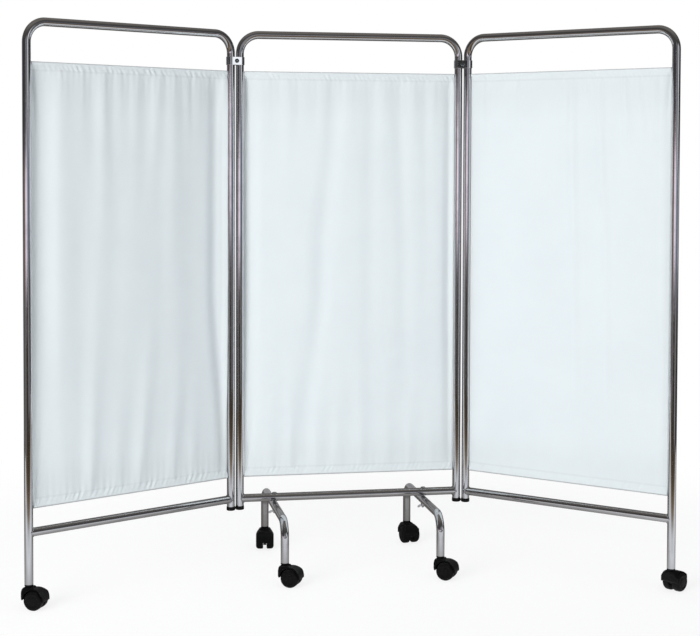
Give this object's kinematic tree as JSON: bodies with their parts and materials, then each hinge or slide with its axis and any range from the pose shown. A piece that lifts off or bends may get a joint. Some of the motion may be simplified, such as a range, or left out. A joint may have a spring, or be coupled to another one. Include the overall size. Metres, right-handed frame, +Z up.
{
  "type": "ward privacy screen",
  "caption": "Folding ward privacy screen: hinged chrome tube frames with gathered fabric curtains, on bow legs and posts with twin wheel casters.",
  "frame": {"origin": "on the floor, under the middle of the bounding box with the frames as pictured", "axes": "+Z up, +X along the centre frame towards its right post as the viewer sees it, -Y towards the viewer"},
  "size_m": [1.9756, 0.7948, 1.6995],
  "materials": {
    "chrome_tube": "bright chrome plate on steel tube",
    "cloth": "matt woven polyester cotton, cool white",
    "rod_steel": "bright drawn rod",
    "zinc_steel": "bright zinc plate",
    "black_plastic": "satin moulded nylon",
    "wheel_plastic": "satin moulded nylon"
  },
  "bodies": {
    "centre_frame": {"frame_tube_centre": "chrome_tube", "crossbar_centre": "chrome_tube", "curtain_rod_top_centre": "rod_steel", "curtain_rod_foot_centre": "rod_steel", "curtain_centre": "cloth", "bow_leg_left": "chrome_tube", "bow_leg_right": "chrome_tube", "leg_bolt_left": "zinc_steel", "leg_bolt_right": "zinc_steel", "wing_nut_left": "zinc_steel", "wing_nut_right": "zinc_steel", "caster_front_left_stem": "black_plastic", "caster_rear_left_stem": "black_plastic", "caster_front_right_stem": "black_plastic", "caster_rear_right_stem": "black_plastic"},
    "left_hinge": {"hinge_clamp_front_left": "chrome_tube", "hinge_clamp_rear_left": "chrome_tube", "hinge_bolt_left": "zinc_steel", "post_link_left": "black_plastic"},
    "left_frame": {"frame_tube_left": "chrome_tube", "crossbar_left": "chrome_tube", "curtain_rod_top_left": "rod_steel", "curtain_rod_foot_left": "rod_steel", "curtain_left": "cloth", "caster_outer_left_stem": "black_plastic"},
    "right_hinge": {"hinge_clamp_front_right": "chrome_tube", "hinge_clamp_rear_right": "chrome_tube", "hinge_bolt_right": "zinc_steel", "post_link_right": "black_plastic"},
    "right_frame": {"frame_tube_right": "chrome_tube", "crossbar_right": "chrome_tube", "curtain_rod_top_right": "rod_steel", "curtain_rod_foot_right": "rod_steel", "curtain_right": "cloth", "caster_outer_right_stem": "black_plastic"},
    "caster_front_left": {"caster_front_left_hood": "black_plastic", "caster_front_left_axle": "zinc_steel"},
    "caster_front_left_left_wheel": {"caster_front_left_left_wheel": "wheel_plastic"},
    "caster_front_left_right_wheel": {"caster_front_left_right_wheel": "wheel_plastic"},
    "caster_rear_left": {"caster_rear_left_hood": "black_plastic", "caster_rear_left_axle": "zinc_steel"},
    "caster_rear_left_left_wheel": {"caster_rear_left_left_wheel": "wheel_plastic"},
    "caster_rear_left_right_wheel": {"caster_rear_left_right_wheel": "wheel_plastic"},
    "caster_front_right": {"caster_front_right_hood": "black_plastic", "caster_front_right_axle": "zinc_steel"},
    "caster_front_right_left_wheel": {"caster_front_right_left_wheel": "wheel_plastic"},
    "caster_front_right_right_wheel": {"caster_front_right_right_wheel": "wheel_plastic"},
    "caster_rear_right": {"caster_rear_right_hood": "black_plastic", "caster_rear_right_axle": "zinc_steel"},
    "caster_rear_right_left_wheel": {"caster_rear_right_left_wheel": "wheel_plastic"},
    "caster_rear_right_right_wheel": {"caster_rear_right_right_wheel": "wheel_plastic"},
    "caster_outer_left": {"caster_outer_left_hood": "black_plastic", "caster_outer_left_axle": "zinc_steel"},
    "caster_outer_left_left_wheel": {"caster_outer_left_left_wheel": "wheel_plastic"},
    "caster_outer_left_right_wheel": {"caster_outer_left_right_wheel": "wheel_plastic"},
    "caster_outer_right": {"caster_outer_right_hood": "black_plastic", "caster_outer_right_axle": "zinc_steel"},
    "caster_outer_right_left_wheel": {"caster_outer_right_left_wheel": "wheel_plastic"},
    "caster_outer_right_right_wheel": {"caster_outer_right_right_wheel": "wheel_plastic"}
  },
  "joints": [
    {"name": "left_clamp_turn", "type": "hinge", "parent": "centre_frame", "child": "left_hinge", "pos_m": [-0.31428, 0.138, 1.604], "axis": [0, 0, 1], "range_deg": [-104.5, 75.5]},
    {"name": "left_frame_turn", "type": "hinge", "parent": "left_hinge", "child": "left_frame", "pos_m": [-0.34333, 0.13049, 1.604], "axis": [0, 0, 1], "range_deg": [-104.5, 75.5]},
    {"name": "right_clamp_turn", "type": "hinge", "parent": "centre_frame", "child": "right_hinge", "pos_m": [0.39372, 0.138, 1.604], "axis": [0, 0, 1], "range_deg": [-68, 112]},
    {"name": "right_frame_turn", "type": "hinge", "parent": "right_hinge", "child": "right_frame", "pos_m": [0.42153, 0.12676, 1.604], "axis": [0, 0, 1], "range_deg": [-68, 112]},
    {"name": "caster_front_left_swivel", "type": "hinge", "parent": "centre_frame", "child": "caster_front_left", "pos_m": [-0.20328, -0.102, 0.065], "axis": [0, 0, 1], "continuous": true},
    {"name": "caster_front_left_left_wheel_spin", "type": "hinge", "parent": "caster_front_left", "child": "caster_front_left_left_wheel", "pos_m": [-0.18386, -0.11233, 0.02844], "axis": [0.4695, 0.8829, 0], "continuous": true},
    {"name": "caster_front_left_right_wheel_spin", "type": "hinge", "parent": "caster_front_left", "child": "caster_front_left_right_wheel", "pos_m": [-0.18386, -0.11233, 0.02844], "axis": [0.4695, 0.8829, 0], "continuous": true},
    {"name": "caster_rear_left_swivel", "type": "hinge", "parent": "centre_frame", "child": "caster_rear_left", "pos_m": [-0.20328, 0.378, 0.065], "axis": [0, 0, 1], "continuous": true},
    {"name": "caster_rear_left_left_wheel_spin", "type": "hinge", "parent": "caster_rear_left", "child": "caster_rear_left_left_wheel", "pos_m": [-0.20597, 0.35617, 0.02844], "axis": [0.9925, -0.1219, 0], "continuous": true},
    {"name": "caster_rear_left_right_wheel_spin", "type": "hinge", "parent": "caster_rear_left", "child": "caster_rear_left_right_wheel", "pos_m": [-0.20597, 0.35617, 0.02844], "axis": [0.9925, -0.1219, 0], "continuous": true},
    {"name": "caster_front_right_swivel", "type": "hinge", "parent": "centre_frame", "child": "caster_front_right", "pos_m": [0.28272, -0.102, 0.065], "axis": [0, 0, 1], "continuous": true},
    {"name": "caster_front_right_left_wheel_spin", "type": "hinge", "parent": "caster_front_right", "child": "caster_front_right_left_wheel", "pos_m": [0.30117, -0.11398, 0.02844], "axis": [0.5446, 0.8387, 0], "continuous": true},
    {"name": "caster_front_right_right_wheel_spin", "type": "hinge", "parent": "caster_front_right", "child": "caster_front_right_right_wheel", "pos_m": [0.30117, -0.11398, 0.02844], "axis": [0.5446, 0.8387, 0], "continuous": true},
    {"name": "caster_rear_right_swivel", "type": "hinge", "parent": "centre_frame", "child": "caster_rear_right", "pos_m": [0.28272, 0.378, 0.065], "axis": [0, 0, 1], "continuous": true},
    {"name": "caster_rear_right_left_wheel_spin", "type": "hinge", "parent": "caster_rear_right", "child": "caster_rear_right_left_wheel", "pos_m": [0.28691, 0.35641, 0.02844], "axis": [0.9816, 0.1908, 0], "continuous": true},
    {"name": "caster_rear_right_right_wheel_spin", "type": "hinge", "parent": "caster_rear_right", "child": "caster_rear_right_right_wheel", "pos_m": [0.28691, 0.35641, 0.02844], "axis": [0.9816, 0.1908, 0], "continuous": true},
    {"name": "caster_outer_left_swivel", "type": "hinge", "parent": "left_frame", "child": "caster_outer_left", "pos_m": [-0.96256, -0.21275, 0.065], "axis": [0, 0, 1], "continuous": true},
    {"name": "caster_outer_left_left_wheel_spin", "type": "hinge", "parent": "caster_outer_left", "child": "caster_outer_left_left_wheel", "pos_m": [-0.94262, -0.22205, 0.02844], "axis": [0.4226, 0.9063, 0], "continuous": true},
    {"name": "caster_outer_left_right_wheel_spin", "type": "hinge", "parent": "caster_outer_left", "child": "caster_outer_left_right_wheel", "pos_m": [-0.94262, -0.22205, 0.02844], "axis": [0.4226, 0.9063, 0], "continuous": true},
    {"name": "caster_outer_right_swivel", "type": "hinge", "parent": "right_frame", "child": "caster_outer_right", "pos_m": [0.93082, -0.36505, 0.065], "axis": [0, 0, 1], "continuous": true},
    {"name": "caster_outer_right_left_wheel_spin", "type": "hinge", "parent": "caster_outer_right", "child": "caster_outer_right_left_wheel", "pos_m": [0.94885, -0.35243, 0.02844], "axis": [-0.5736, 0.8191, 0], "continuous": true},
    {"name": "caster_outer_right_right_wheel_spin", "type": "hinge", "parent": "caster_outer_right", "child": "caster_outer_right_right_wheel", "pos_m": [0.94885, -0.35243, 0.02844], "axis": [-0.5736, 0.8191, 0], "continuous": true}
  ]
}
